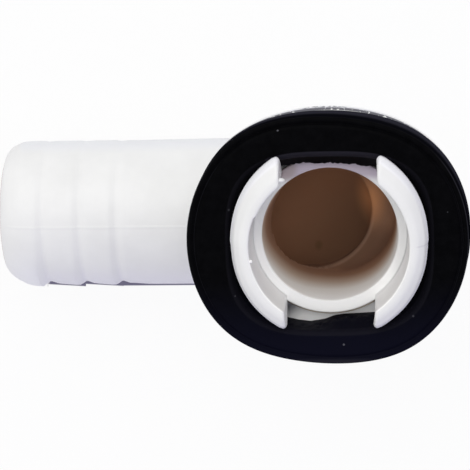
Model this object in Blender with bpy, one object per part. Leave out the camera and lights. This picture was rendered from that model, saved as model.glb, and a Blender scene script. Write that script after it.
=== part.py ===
"""Drain elbow of an outdoor unit: a moulded elbow with a snap ring and a hose tail,
and the rubber seal ring that is stretched round its neck.

Metres, +Z up. The origin lies on the snap ring's axis, in the plane of the flat base that
closes the cup. The hose tail runs along -X, and the two hook arms stand at -X and +X.
"""
import math

import bmesh
import bpy
from mathutils import Matrix

MM = 0.001
TURNED_SIDES = 64
RING_SIDES = 72
ARC_STEPS = 4

# Hose tail, turned about a horizontal axis
TAIL_REACH = 44.6 * MM
TAIL_RADIUS = 9.9 * MM
TAIL_WALL = 2.15 * MM
TAIL_BORE_TAPER = 0.05 * MM
BARB_COUNT = 3
BARB_RISE = 0.1 * MM
BARB_PITCH = 4.95 * MM
BARB_STEP_DEPTH = 0.3 * MM
BARB_STEP_LENGTH = 1.2 * MM
NOSE_LENGTH = 5.7 * MM
NOSE_ROUND_LENGTH = 5.0 * MM
NOSE_ROUND_DEPTH = 1.9 * MM

# Cup that turns the flow from the inlet to the tail
INLET_RADIUS = 8.82 * MM
INLET_TAPER = 0.9 * MM
INLET_FLOOR_RISE = 1.0 * MM
TROUGH_LEDGE = 3.6 * MM
CUP_WALL = 1.5 * MM
BASE_EDGE_RADIUS = 0.8 * MM
SHANK_LENGTH = 1.7 * MM

# Flange, whose edge shows just past the seal's, and the inlet's rim above it
FLANGE_MARGIN = 0.1 * MM
FLANGE_THICKNESS = 2.0 * MM
FLANGE_EDGE = 0.3 * MM
FLANGE_FILLET = 1.0 * MM
RIM_WALL = 1.43 * MM
RIM_RISE = 1.6 * MM
RIM_EDGE = 0.1 * MM

# Hook arms
HOOK_LEDGE = 1.2 * MM
HOOK_WALL = 1.28 * MM
HOOK_DRAFT = 0.18 * MM
HOOK_RISE = 9.3 * MM
CATCH_RISE = 6.0 * MM
CATCH_OVERHANG = 1.55 * MM
CATCH_BAND = 0.8 * MM
HOOK_LAND = 1.05 * MM
HOOK_EDGE = 0.15 * MM
BACK_SLOT_WIDTH = 12.4 * MM
FRONT_SLOT_WIDTH = 11.5 * MM

# Rubber seal ring
SEAL_SIDE_WIDTH = 6.65 * MM
SEAL_SLOT_WIDTH = 5.75 * MM
SEAL_MOUTH_WIDTH = 1.6 * MM
SEAL_MOUTH_ROUND = 0.7 * MM
SEAL_LIP_HEIGHT = 2.4 * MM
SEAL_LIP_WIDTH = 0.35 * MM
SEAL_EDGE = 0.3 * MM
SEAL_BEAD_WIDTH = 0.8 * MM
SEAL_GROOVE_WIDTH = 0.3 * MM
SEAL_GROOVE_DEPTH = 0.2 * MM
OUTER_FLATNESS = 6
MOUTH_FLATNESS = 12
HOLE_FLATNESS = 24

# Clearance between touching pieces, and working lengths of the cutters
SEAL_GAP = 0.3 * MM
OVERLAP = 0.4 * MM
OVERSHOOT = 1.0 * MM
MERGE = 0.0001 * MM
WELD = 0.005 * MM

# Levels and radii that follow from the sizes above
BARB_RADIUS = TAIL_RADIUS + BARB_RISE
TAIL_AXIS_Z = BARB_RADIUS
TAIL_MOUTH_RADIUS = TAIL_RADIUS - TAIL_WALL
TAIL_BORE_RADIUS = TAIL_MOUTH_RADIUS - TAIL_BORE_TAPER
CUP_RADIUS = INLET_RADIUS + CUP_WALL
FLANGE_UNDERSIDE_Z = TAIL_AXIS_Z + BARB_RADIUS + SHANK_LENGTH
FLANGE_TOP_Z = FLANGE_UNDERSIDE_Z + FLANGE_THICKNESS
RIM_RADIUS = INLET_RADIUS + RIM_WALL
RIM_TOP_Z = FLANGE_TOP_Z + RIM_RISE
HOOK_BORE_RADIUS = INLET_RADIUS + HOOK_LEDGE
NECK_RADIUS = HOOK_BORE_RADIUS + HOOK_WALL
CATCH_RADIUS = NECK_RADIUS + CATCH_OVERHANG
CATCH_Z = FLANGE_TOP_Z + CATCH_RISE
HOOK_TOP_Z = FLANGE_TOP_Z + HOOK_RISE
HOOK_LAND_RADIUS = HOOK_BORE_RADIUS + HOOK_DRAFT + HOOK_LAND
SEAL_BOTTOM_Z = FLANGE_TOP_Z + SEAL_GAP
SEAL_TOP_Z = CATCH_Z - SEAL_GAP
SEAL_HOLE = (NECK_RADIUS + SEAL_GAP, RIM_RADIUS + SEAL_GAP)
SEAL_OUTSIDE = (SEAL_HOLE[0] + SEAL_SIDE_WIDTH, SEAL_HOLE[1] + SEAL_SLOT_WIDTH)


def arc(centre, radii, start, stop, steps=ARC_STEPS):
    """Points along an elliptical arc of a profile, from start to stop in degrees."""
    points = []
    for index in range(steps + 1):
        angle = math.radians(start + (stop - start) * index / steps)
        points.append((centre[0] + radii[0] * math.cos(angle), centre[1] + radii[1] * math.sin(angle)))
    return points


def new_object(name, mesh_builder, placement=None):
    """Turn a bmesh into an object with outward normals, placed by an optional matrix."""
    bmesh.ops.remove_doubles(mesh_builder, verts=mesh_builder.verts, dist=MERGE)
    bmesh.ops.recalc_face_normals(mesh_builder, faces=mesh_builder.faces)
    mesh = bpy.data.meshes.new(name)
    mesh_builder.to_mesh(mesh)
    mesh_builder.free()
    piece = bpy.data.objects.new(name, mesh)
    bpy.context.scene.collection.objects.link(piece)
    if placement:
        piece.matrix_world = placement
    return piece


def turned(name, profile, closed=False, placement=None):
    """Spin a profile of (radius, height) points round the local Z axis."""
    builder = bmesh.new()
    verts = [builder.verts.new((radius, 0, height)) for radius, height in profile]
    edges = [builder.edges.new(pair) for pair in zip(verts, verts[1:])]
    if closed:
        edges.append(builder.edges.new((verts[-1], verts[0])))
    bmesh.ops.spin(
        builder, geom=verts + edges, cent=(0, 0, 0), axis=(0, 0, 1),
        angle=2 * math.pi, steps=TURNED_SIDES, use_merge=True)
    return new_object(name, builder, placement)


def block(name, low, high):
    """A plain box between two corners."""
    builder = bmesh.new()
    bmesh.ops.create_cube(builder, size=1.0)
    spans = [top - bottom for bottom, top in zip(low, high)]
    middle = [(top + bottom) / 2 for bottom, top in zip(low, high)]
    bmesh.ops.scale(builder, vec=spans, verts=builder.verts)
    bmesh.ops.translate(builder, vec=middle, verts=builder.verts)
    return new_object(name, builder)


def tool(piece):
    """Mark an object that only adds to or cuts another one."""
    piece.hide_render = True
    piece.display_type = "WIRE"
    return piece


def combine(piece, operand, operation):
    """Add a Boolean modifier that joins or cuts a piece by a tool object."""
    modifier = piece.modifiers.new(operand.name, "BOOLEAN")
    modifier.operation = operation
    modifier.object = tool(operand)


def tail_frame():
    """Placement that lays a turned shape along the hose tail, its height running to -X."""
    return Matrix(((0, 0, -1, 0), (0, 1, 0, 0), (1, 0, 0, TAIL_AXIS_Z), (0, 0, 0, 1)))


def flattened_ring(half_sizes, offset, flatness, height):
    """A circle flattened at the front and back, at an offset outwards from its half sizes.

    It is half_sizes[0] wide along X and half_sizes[1] along Y. The larger the flatness, the
    straighter its front and back and the tighter its corners.
    """
    length = half_sizes[0] + offset
    width = half_sizes[1] + offset
    points = []
    for index in range(RING_SIDES):
        angle = 2 * math.pi * index / RING_SIDES
        share = abs(math.sin(angle)) ** flatness
        inverse = (1 - share) * length ** -flatness + share * width ** -flatness
        radius = inverse ** (-1 / flatness)
        points.append((radius * math.cos(angle), radius * math.sin(angle), height))
    return points


def lofted(name, rings, closed=False):
    """Skin rings of points in order, and either close the skin on itself or cap both ends."""
    builder = bmesh.new()
    loops = [[builder.verts.new(point) for point in ring] for ring in rings]
    following = loops[1:] + loops[:1] if closed else loops[1:]
    for first, second in zip(loops, following):
        for index in range(RING_SIDES):
            after = (index + 1) % RING_SIDES
            builder.faces.new((first[index], first[after], second[after], second[index]))
    if not closed:
        builder.faces.new(reversed(loops[0]))
        builder.faces.new(loops[-1])
    return new_object(name, builder)


def cup_profile():
    """Outside of the cup and of the inlet's rim, from the base up, the flange left out."""
    edge = BASE_EDGE_RADIUS
    fillet = FLANGE_FILLET
    points = [(0, 0)]
    points += arc((CUP_RADIUS - edge, edge), (edge, edge), -90, 0)
    points += arc((CUP_RADIUS + fillet, FLANGE_UNDERSIDE_Z - fillet), (fillet, fillet), 180, 110)
    points += [
        (CUP_RADIUS + fillet + OVERLAP, FLANGE_UNDERSIDE_Z + OVERLAP),
        (RIM_RADIUS, FLANGE_TOP_Z - OVERLAP),
        (RIM_RADIUS, RIM_TOP_Z - RIM_EDGE),
        (RIM_RADIUS - RIM_EDGE, RIM_TOP_Z),
        (0, RIM_TOP_Z),
    ]
    return points


def flange():
    """The flange plate, of the seal's outline with a small margin."""
    outline = [size + FLANGE_MARGIN for size in SEAL_OUTSIDE]
    sections = [
        (-FLANGE_EDGE, FLANGE_UNDERSIDE_Z),
        (0, FLANGE_UNDERSIDE_Z + FLANGE_EDGE),
        (0, FLANGE_TOP_Z - FLANGE_EDGE),
        (-FLANGE_EDGE, FLANGE_TOP_Z),
    ]
    rings = [flattened_ring(outline, offset, OUTER_FLATNESS, height) for offset, height in sections]
    return lofted("flange", rings)


def tail_profile():
    """Outside of the hose tail, from a round end inside the cup out to the rounded nose."""
    points = arc((0, 0), (TAIL_RADIUS, TAIL_RADIUS), -90, 0)
    points[0] = (0, -TAIL_RADIUS)
    groove_radius = BARB_RADIUS - BARB_STEP_DEPTH
    for index in reversed(range(BARB_COUNT)):
        step = TAIL_REACH - NOSE_LENGTH - index * BARB_PITCH
        if index == BARB_COUNT - 1:
            points.append((TAIL_RADIUS, step - 2 * BARB_STEP_LENGTH))
        points.append((groove_radius, step - BARB_STEP_LENGTH))
        points.append((BARB_RADIUS, step))
    nose_start = TAIL_REACH - NOSE_ROUND_LENGTH
    radii = (NOSE_ROUND_DEPTH, NOSE_ROUND_LENGTH)
    points += arc((BARB_RADIUS - NOSE_ROUND_DEPTH, nose_start), radii, 0, 90, 2 * ARC_STEPS)
    points.append((0, TAIL_REACH))
    return points


def hook_profile():
    """Section of the snap ring: neck, catch, lead-in slope, flat land and inner wall."""
    root = FLANGE_TOP_Z - 2 * OVERLAP
    mouth = HOOK_BORE_RADIUS + HOOK_DRAFT
    edge = HOOK_EDGE
    return [
        (HOOK_BORE_RADIUS, root),
        (NECK_RADIUS, root),
        (NECK_RADIUS, CATCH_Z),
        (CATCH_RADIUS - edge, CATCH_Z),
        (CATCH_RADIUS, CATCH_Z + edge),
        (CATCH_RADIUS, CATCH_Z + CATCH_BAND),
        (HOOK_LAND_RADIUS + edge, HOOK_TOP_Z - edge),
        (HOOK_LAND_RADIUS - edge, HOOK_TOP_Z),
        (mouth + edge, HOOK_TOP_Z),
        (mouth, HOOK_TOP_Z - edge),
        (HOOK_BORE_RADIUS, RIM_TOP_Z),
    ]


def hook_arms():
    """The snap ring, opened by a wide slot on each side so that two arms are left."""
    arms = turned("hook_arms", hook_profile(), closed=True)
    floor = FLANGE_TOP_Z - OVERLAP
    top = HOOK_TOP_Z + OVERSHOOT
    reach = CATCH_RADIUS + OVERSHOOT
    half = BACK_SLOT_WIDTH / 2
    back = block("back_slot", (-half, 0, floor), (half, reach, top))
    half = FRONT_SLOT_WIDTH / 2
    front = block("front_slot", (-half, -reach, floor), (half, 0, top))
    combine(arms, back, "DIFFERENCE")
    combine(arms, front, "DIFFERENCE")
    return arms


def inlet_bore():
    """Tapered core of the inlet, from its flat floor up through the rim."""
    floor = TAIL_AXIS_Z + INLET_FLOOR_RISE
    top = RIM_TOP_Z + OVERSHOOT
    profile = [(0, floor), (INLET_RADIUS - INLET_TAPER, floor), (INLET_RADIUS, RIM_TOP_Z)]
    profile += [(INLET_RADIUS, top), (0, top)]
    return turned("inlet_bore", profile)


def tail_bore():
    """Tapered core of the hose tail, with the round end that makes the trough in the cup."""
    end = INLET_RADIUS - TROUGH_LEDGE
    round_start = TAIL_BORE_RADIUS - end
    profile = arc((0, round_start), (TAIL_BORE_RADIUS, TAIL_BORE_RADIUS), -90, 0, 2 * ARC_STEPS)
    profile[0] = (0, -end)
    profile += [
        (TAIL_MOUTH_RADIUS, TAIL_REACH),
        (TAIL_MOUTH_RADIUS, TAIL_REACH + OVERSHOOT),
        (0, TAIL_REACH + OVERSHOOT),
    ]
    return turned("tail_bore", profile, placement=tail_frame())


def elbow_body():
    """The whole moulding: cup, rim, flange, hose tail and hook arms as one solid."""
    body = turned("elbow_body", cup_profile())
    combine(body, flange(), "UNION")
    combine(body, turned("tail", tail_profile(), placement=tail_frame()), "UNION")
    combine(body, hook_arms(), "UNION")
    combine(body, inlet_bore(), "DIFFERENCE")
    combine(body, tail_bore(), "DIFFERENCE")
    weld = body.modifiers.new("weld", "WELD")
    weld.merge_threshold = WELD
    return body


def seal_section():
    """Rings of the seal in order round its section, from the hole's foot outwards."""
    lip_top = SEAL_BOTTOM_Z + SEAL_LIP_HEIGHT
    groove = SEAL_BEAD_WIDTH + SEAL_GROOVE_WIDTH
    rings = []

    def outer(inset, height):
        rings.append(flattened_ring(SEAL_OUTSIDE, -inset, OUTER_FLATNESS, height))

    def inner(offset, height, flatness):
        rings.append(flattened_ring(SEAL_HOLE, offset, flatness, height))

    inner(0, SEAL_BOTTOM_Z, HOLE_FLATNESS)
    outer(SEAL_EDGE, SEAL_BOTTOM_Z)
    outer(0, SEAL_BOTTOM_Z + SEAL_EDGE)
    bead_radii = (SEAL_BEAD_WIDTH / 2, SEAL_EDGE)
    for inset, height in arc((SEAL_BEAD_WIDTH / 2, SEAL_TOP_Z - SEAL_EDGE), bead_radii, 180, 60):
        outer(inset, height)
    outer(SEAL_BEAD_WIDTH, SEAL_TOP_Z - SEAL_GROOVE_DEPTH)
    outer(groove, SEAL_TOP_Z)
    mouth = SEAL_MOUTH_WIDTH
    round_radii = (SEAL_MOUTH_ROUND, SEAL_MOUTH_ROUND)
    for offset, height in arc((mouth, SEAL_TOP_Z - SEAL_MOUTH_ROUND), round_radii, 90, 150, 3):
        inner(offset, height, MOUTH_FLATNESS)
    inner(SEAL_LIP_WIDTH, lip_top, HOLE_FLATNESS)
    inner(0, lip_top - SEAL_LIP_WIDTH, HOLE_FLATNESS)
    return rings


def finish(piece, name, colour, roughness, coat=0.0):
    """Shade a piece smooth up to its real edges and give it its material."""
    piece.data.shade_smooth()
    piece.data.set_sharp_from_angle(angle=math.radians(30))
    material = bpy.data.materials.new(name)
    material.use_nodes = True
    shader = material.node_tree.nodes["Principled BSDF"]
    shader.inputs["Base Color"].default_value = (*colour, 1)
    shader.inputs["Roughness"].default_value = roughness
    shader.inputs["Metallic"].default_value = 0.0
    shader.inputs["Coat Weight"].default_value = coat
    piece.data.materials.append(material)


def build():
    """Clear the scene and model the two pieces."""
    for old in list(bpy.data.objects):
        bpy.data.objects.remove(old)
    finish(elbow_body(), "white_plastic", (0.83, 0.83, 0.83), 0.32, coat=0.2)
    seal = lofted("rubber_seal", seal_section(), closed=True)
    finish(seal, "black_rubber", (0.006, 0.006, 0.008), 0.45)


build()
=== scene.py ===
"""Dressed view of the drain elbow: the white moulding, its rubber seal, camera, light and floor.

Millimetres in the shape functions, in the CAD's own frame: the ring's axis is +Z, the tail
runs along -X and the two hook arms stand at -X and +X. Back is +Y and front is -Y.
"""

import math

import bmesh
import bpy
import numpy as np
from mathutils import Matrix, Vector, noise


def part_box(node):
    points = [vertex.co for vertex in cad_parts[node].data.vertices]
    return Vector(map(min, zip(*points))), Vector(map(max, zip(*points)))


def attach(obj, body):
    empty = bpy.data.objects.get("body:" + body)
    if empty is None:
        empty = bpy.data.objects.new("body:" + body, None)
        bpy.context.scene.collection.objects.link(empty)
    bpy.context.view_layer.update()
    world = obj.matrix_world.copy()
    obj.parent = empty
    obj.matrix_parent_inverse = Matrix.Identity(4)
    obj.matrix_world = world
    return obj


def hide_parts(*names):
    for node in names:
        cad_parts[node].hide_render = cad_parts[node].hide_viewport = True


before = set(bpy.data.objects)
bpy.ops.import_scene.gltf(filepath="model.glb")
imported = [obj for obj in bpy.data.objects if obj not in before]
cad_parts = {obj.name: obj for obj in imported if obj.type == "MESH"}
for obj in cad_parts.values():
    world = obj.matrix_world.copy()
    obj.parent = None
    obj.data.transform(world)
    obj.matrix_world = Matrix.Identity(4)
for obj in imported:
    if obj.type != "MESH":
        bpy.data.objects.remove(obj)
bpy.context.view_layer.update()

MM = 0.001


def corners(node):
    """A CAD node's lowest and highest corner, in millimetres."""
    return [[round(value / MM, 3) for value in corner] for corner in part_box(node)]


BODY_LOW, BODY_HIGH = corners("elbow_body")
SEAL_LOW, SEAL_HIGH = corners("rubber_seal")

# Camera that the photograph was taken with, as fitted to the part
FRAME_PIXELS = 470
FOCAL_PIXELS = 2320
SENSOR_WIDTH = 36
CAMERA_AT = (0.0075, 0.0660, 0.3190)
CAMERA_TURN = (-12.6575, 3.7722, -0.5008)

# Reach and levels that follow from the frame
TAIL_REACH = -BODY_LOW[0]
HOOK_TOP_Z = BODY_HIGH[2]
SEAL_BOTTOM_Z = SEAL_LOW[2]
SEAL_TOP_Z = SEAL_HIGH[2]
SEAL_GAP = 0.3
FLANGE_TOP_Z = SEAL_BOTTOM_Z - SEAL_GAP
FLANGE_BOTTOM_Z = FLANGE_TOP_Z - 2.0
RIM_TOP_Z = FLANGE_TOP_Z + 1.6
CATCH_Z = SEAL_TOP_Z + SEAL_GAP

# Hose tail
TAIL_RADIUS = 9.9
BARB_RADIUS = 10.0
TAIL_AXIS_Z = BARB_RADIUS
NOSE_LENGTH = 5.7
NOSE_ROUND = (3.2, 4.9)
BARB_COUNT = 3
BARB_PITCH = 4.95
BETWEEN_BARBS_RADIUS = BARB_RADIUS - 0.04

# Fine parting line along the tail's two sides: its steps across, the space that is cleared
# for them and the reach of its ridge are counted in half widths
SEAM_HEIGHT = 0.05
SEAM_HALF_WIDTH = 0.12
SEAM_STEPS = (-2, -1, 0, 1, 2)
SEAM_CLEARED = 2.2
SEAM_REACH = 1.5
SEAM_FROM_RADIUS = 0.9 * TAIL_RADIUS

# A barb's groove, as shares of its depth and how far past the barb's step they lie
GROOVE_DEPTH = 0.32
GROOVE_BACK_DEPTH = 0.1
GROOVE_START = -1.8
GROOVE_SHAPE = ((0.25, -1.3), (1.0, -0.455), (0.85, -0.13), (0.15, 0.3), (0.0, 0.65))
SKIN_RADIUS = BARB_RADIUS - GROOVE_DEPTH - 0.05

# Saw-tooth slope of the barbs at the front, and the fuller nose beside them
SLOPE_DEPTH = 0.32
SLOPE_LENGTH = 4.2
SLOPE_RISE_LENGTH = 0.8
NOSE_FRONT_SWELL = 0.12

# How far the back of the tail draws in, by reach, and the back of the nose outwards, by radius
TAIL_BACK_TAPER = ((8.0, 0.0), (16.0, 0.07), (28.0, 0.2), (44.6, 0.18))
NOSE_BACK_SHIFT = ((7.9, -0.05), (8.4, 0.2), (9.1, 0.38), (9.7, 0.35), (10.0, 0.0))
NOSE_BACK_FROM = 1.0

# Cup, flange and rim
CUP_RADIUS = 10.32
BASE_EDGE = 0.8
CUP_FILLET = 1.0
FLANGE_HALF = (18.15, 16.35)
FLANGE_FLATNESS = 4.3
FLANGE_CENTRE = (-0.1, 0.0)
FLANGE_EDGE = 0.35
OVERLAP = 0.4
RIM_RADIUS = 10.5
RIM_EDGE = 0.22
JOINT_ROUND = 1.6

# Where the softened joint of cup and tail lies: outside these radii, between these places in
# X, and further than the margin from the base and the flange
JOINT_CUP_RADIUS = 9.4
JOINT_TAIL_RADIUS = 8.6
JOINT_X = (-12.0, 0.5)
JOINT_MARGIN = 1.2

# Water way: the inlet leans a little towards +X as it goes down
INLET_RADIUS = 8.82
INLET_FLOOR_RADIUS = 7.92
INLET_FLOOR_Z = 10.9
INLET_LEAN = 0.65
INLET_FLOOR_ROUND = 2.2
TAIL_BORE_RADIUS = 7.7
BORE_END_X = 5.3
MOUTH_RADIUS = 7.75
TROUGH_ROUND = 1.0

# Rounded lips of the two openings: how far out of the bore and how far past its end
INLET_LIP = ((-0.02, -0.25), (0.03, -0.1), (0.12, 0.0))
INLET_CUT_RADIUS = INLET_RADIUS + 0.2
OUTLET_LIP = ((0.0, -0.25), (0.05, -0.1), (0.15, 0.02), (0.15, 1.0))
CUT_PAST = 1.0

# Hook arms: the section's corners as (radius, height, corner radius)
HOOK_ROOT_Z = FLANGE_TOP_Z - 2 * OVERLAP
HOOK_BORE_RADIUS = 10.02
NECK_RADIUS = 11.3
CATCH_RADIUS = 12.85
HOOK_CORNERS = (
    (HOOK_BORE_RADIUS, HOOK_ROOT_Z, 0.0),
    (NECK_RADIUS, HOOK_ROOT_Z, 0.0),
    (NECK_RADIUS, CATCH_Z, 0.15),
    (CATCH_RADIUS, CATCH_Z, 0.3),
    (CATCH_RADIUS, CATCH_Z + 0.9, 0.6),
    (CATCH_RADIUS - 0.5, CATCH_Z + 2.2, 1.5),
    (11.2, HOOK_TOP_Z, 1.2),
    (10.2, HOOK_TOP_Z, 0.3),
)
BACK_SLOT_HALF = 6.2
FRONT_SLOT_HALF = 5.75
ARM_COLUMNS = 60
ARM_END_ROUND = 0.4
ARM_TIP_LENGTH = 0.9
ARM_TIP_DEPTH = 0.5
PARTING_Y = -0.05

# How far the catch stands further out (or in), by degrees from the X axis towards the back
CATCH_OFFSETS = (
    (-60, -0.04), (-40, -0.06), (-20, -0.2), (-5, -0.3), (0.8, -0.27), (1.4, -0.2), (10, -0.16),
    (25, 0.03), (40, 0.2), (60, 0.32),
)
CATCH_REACH = 1.5

# Step in the left arm's inner edge, by degrees, and its burrs, as centres and half sizes
LEFT_EDGE_STEP = ((23.2, 0.0), (23.8, -0.2))
LEFT_EDGE_RADIUS = 10.6
LEFT_EDGE_REACH = 0.4
BURRS = (((-5.95, 8.62, 32.2), (0.55, 0.3, 0.45)), ((-9.9, -1.75, 32.7), (0.2, 0.25, 0.25)))

# Rubber seal, its outline at its foot and crown as half sizes, flatness, centre and turn
SEAL_FOOT = ((18.25, 16.2), 5.3, (-0.02, -0.04), -1.4)
SEAL_CROWN = ((18.08, 16.22), 7.1, (-0.29, -0.06), -4.0)
SEAL_EDGE = 0.25
SEAL_BEAD_ROUND = 0.4
SEAL_WALL_ROWS = 8
SEAL_WALL_MARGIN = 0.7

# The groove inside the seal's bead, and the flat top, as insets and depths below the top
SEAL_GROOVE = ((0.72, 0.16), (0.82, 0.24), (0.95, 0.25), (1.08, 0.12), (1.25, 0.02))
SEAL_TOP_INSETS = (1.5, 1.9, 2.3)

# The seal's mouth, its hole and its torn lip, whose edge is given as (x, y) points
SEAL_MOUTH = (13.45, 12.2)
SEAL_MOUTH_CENTRE = (0.0, -0.4)
SEAL_MOUTH_POWER = 3
SEAL_MOUTH_ROUND = (0.9, 0.7)
SEAL_MOUTH_BRIM = (-0.7, -0.3)
SEAL_MOUTH_SHIFT = -0.15
SEAL_THROAT = ((0.25, 1.1), (0.55, 1.7), (0.8, 2.2))
SEAL_HOLE = (11.6, 10.55)
SEAL_HOLE_FLATNESS = 24
SEAL_LIP_TOP_Z = 26.5
LIP_RADIUS = 12.0
LIP_HALF = 7.2
LIP_FADE = 0.8
THROAT_WEAR = 0.12
LIP_WAVE = 0.1
LIP_UNDERSIDE = (0.8, 1.2)
BACK_LIP = ((-6.2, 9.37), (-3.5, 9.77), (1.5, 9.72), (6.0, 9.18))
FRONT_LIP = (
    (-6.0, -11.3), (-4.3, -11.7), (-2.7, -11.9), (-0.8, -11.6), (0.4, -11.13), (1.7, -10.94),
    (5.7, -10.73),
)

# The lip's two edges, as depth of wear and height above its top, and the noise that frays
# them, as share, seed and scale
LIP_EDGES = ((0.25, 0.35), (0.3, -0.3))
LIP_NOISE = ((1.0, 7.7, 22), (0.7, 1.3, 55))

# Colours of the plastic, and of the painted light and shade on it
WHITE_MOTTLES = ((0.35, (0.80, 0.80, 0.795)), (0.65, (0.84, 0.84, 0.835)))
PAINTED_LIGHT_WHITE = (0.97, 0.965, 0.955)
BACK_SHADE_WHITE = (0.77, 0.785, 0.83)
FRONT_SHADE_WHITE = (0.80, 0.78, 0.87)
NOSE_LIT_WHITE = (0.91, 0.91, 0.93)
CATCH_LIT_WHITE = (0.95, 0.95, 0.99)
PARTING_GREY = (0.50, 0.48, 0.53)
FOOT_SHADE_BROWN = (0.58, 0.43, 0.28)
RIM_SHADE_VIOLET = (0.42, 0.34, 0.44)
ARM_SHADE_BROWN = (0.36, 0.29, 0.27)
EDGE_SHADE_BLACK = (0.04, 0.04, 0.065)
BORE_SHADE_DEPTH = 23.0
BORE_SHADE_RAMP = (
    (0.0, (0.90, 0.895, 0.88)),
    (0.2, (0.84, 0.81, 0.77)),
    (0.34, (0.56, 0.44, 0.35)),
    (0.46, (0.35, 0.20, 0.13)),
    (0.58, (0.29, 0.155, 0.095)),
    (0.66, (0.31, 0.17, 0.105)),
    (1.0, (0.36, 0.2, 0.12)),
)
TROUGH_LIT_BROWN = (0.45, 0.235, 0.135)
TROUGH_SHADE_BROWN = (0.22, 0.12, 0.07)
LEDGE_SHADE_BROWN = (0.15, 0.08, 0.05)
CORNER_SHADE_BROWN = (0.13, 0.07, 0.045)
EDGE_HIGHLIGHT_BROWN = (0.46, 0.30, 0.21)
SPOT_BROWN = (0.16, 0.1, 0.045)
GLOW_ORANGE = (0.78, 0.37, 0.17)

# What counts as the water way: distances from its two axes, heights, and the tail bore's end
INSIDE_RING = 9.0
INSIDE_PIPE = MOUTH_RADIUS + 0.1
INSIDE_Z = (0.5, RIM_TOP_Z - 0.1)
INSIDE_END_X = 6.0

# Marks, as centres in X and Y with the distances over which they fade in, or half sizes: a dark
# spot, the painted shade behind the left arm and the painted glow through the wall
SPOT_AT = (-2.1, -6.0)
SPOT_FADE = (0.75, 0.2)
ARM_SHADE_AT = (-5.7, 8.6)
ARM_SHADE_FADE = (2.0, 0.9)
GLOW_AT = (5.2, 1.6)
GLOW_HALF = (2.7, 4.6)

# Noises, as scale, detail and roughness, and the dust specks' scale and size
MOTTLE = (140.0, 4.0, 0.6)
PLASTIC_GRAIN = (700.0, 5.0, 0.6)
EDGE_SHADE_SPOTS = (1900.0, 2.0, 0.6)
RUBBER_GRAIN = (900.0, 4.0, 0.65)
SPECK_SCALE = 330.0
SPECK_SIZE = 0.05

# Colours of the rubber, with its painted highlights, sheen and shade
BLACK_GRAIN = ((0.3, (0.0008, 0.0008, 0.0012)), (0.7, (0.0022, 0.0022, 0.0028)))
FRONT_SHEEN_BLACK = (0.0035, 0.0036, 0.0095)
THROAT_LIT_BLACK = (0.006, 0.006, 0.0085)
MOUTH_HIGHLIGHT_GREY = (0.016, 0.015, 0.021)
BEAD_HIGHLIGHT_GREY = (0.015, 0.0145, 0.022)
EDGE_HIGHLIGHT_GREY = (0.02, 0.02, 0.026)
SIDE_SHADE_BLACK = (0.003, 0.003, 0.0045)
BACK_SHEEN_GREY = (0.022, 0.0215, 0.03)
DUST_GREY = (0.25, 0.25, 0.28)

# Floor, and the shade under the tail: where it runs, its dark and soft bands and its scallops
FLOOR_HALF = 3.0
FLOOR_COLOUR = (0.88, 0.88, 0.885, 1)
FLOOR_ROUGHNESS = 0.9
FLOOR_WHITENESS = 0.9
SHADE_COLOUR = (0.10, 0.09, 0.16)
SHADE_START_X = (-41.2, -40.6)
SHADE_END_X = (-8.0, -19.0)
SHADE_EDGE_Y = (-12.66, -12.52)
SHADE_DARK_Y = (-11.4, -12.3)
SHADE_SOFT_Y = (-2.0, -10.0)
SHADE_DARK = 0.7
SHADE_SOFT = 0.3
SCALLOP_START_X = -40.9
SCALLOP_PITCH = 5.4
SCALLOP_DEPTH = 0.34
SCALLOP_END_X = -30.1
SCALLOP_END_SHARE = 0.85

# Key lamp, and surroundings that are dim and violet towards one side
KEY_AT = (-0.07, 0.36, 0.60)
KEY_SIZE = 0.6
KEY_POWER = 1.76
KEY_COLOUR = (1.0, 0.995, 0.98)
WORLD_STRENGTH = 0.79
DIM_SIDE = (0.5, -0.85, -0.15)
WORLD_SHADES = ((0.05, (1.0, 1.0, 1.0)), (0.85, (0.66, 0.65, 0.90)))

# Fineness of the meshes, and the angle above which an edge stays sharp
COLUMNS = 192
SEAL_COLUMNS = 360
PROFILE_STEP = 0.55
INLET_STEP = 0.5
BORE_STEP = 0.6
MERGE_DISTANCE = 0.001
JOINT_MERGE_DISTANCE = 0.03
SHARP_DEGREES = 35

# How a crease is softened: rounds, length of a trial step, what counts as on the surface, the
# smallest slope that is divided by, and a distance beyond all others
SOFTEN_ROUNDS = 4
SOFTEN_STEP = 0.01
SOFTEN_REACH = 0.05
SOFTEN_LEAST_SLOPE = 0.2
FAR_OFF = 50


def shown(name, mesh):
    """A new object of a mesh, in the scene."""
    piece = bpy.data.objects.new(name, mesh)
    bpy.context.scene.collection.objects.link(piece)
    return piece


def clean(piece, distance=MERGE_DISTANCE):
    """Merge doubled points and turn the normals outwards."""
    builder = bmesh.new()
    builder.from_mesh(piece.data)
    bmesh.ops.remove_doubles(builder, verts=builder.verts, dist=distance * MM)
    bmesh.ops.dissolve_degenerate(builder, edges=builder.edges, dist=distance * MM)
    bmesh.ops.recalc_face_normals(builder, faces=builder.faces)
    builder.to_mesh(piece.data)
    builder.free()


def grid_object(name, rows, ring=False, caps=False):
    """Mesh over rows of points whose columns close on themselves, its rows too when ring."""
    rows = np.asarray(rows, float)
    count, columns = rows.shape[:2]
    index = np.arange(count * columns).reshape(count, columns)
    below = index if ring else index[:-1]
    above = np.roll(index, -1, 0) if ring else index[1:]
    faces = np.stack([below, np.roll(below, -1, 1), np.roll(above, -1, 1), above], -1)
    faces = faces.reshape(-1, 4).tolist()
    if caps:
        faces.append(index[0][::-1].tolist())
        faces.append(index[-1].tolist())
    mesh = bpy.data.meshes.new(name)
    mesh.from_pydata((rows.reshape(-1, 3) * MM).tolist(), [], faces)
    piece = shown(name, mesh)
    clean(piece)
    return piece


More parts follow.
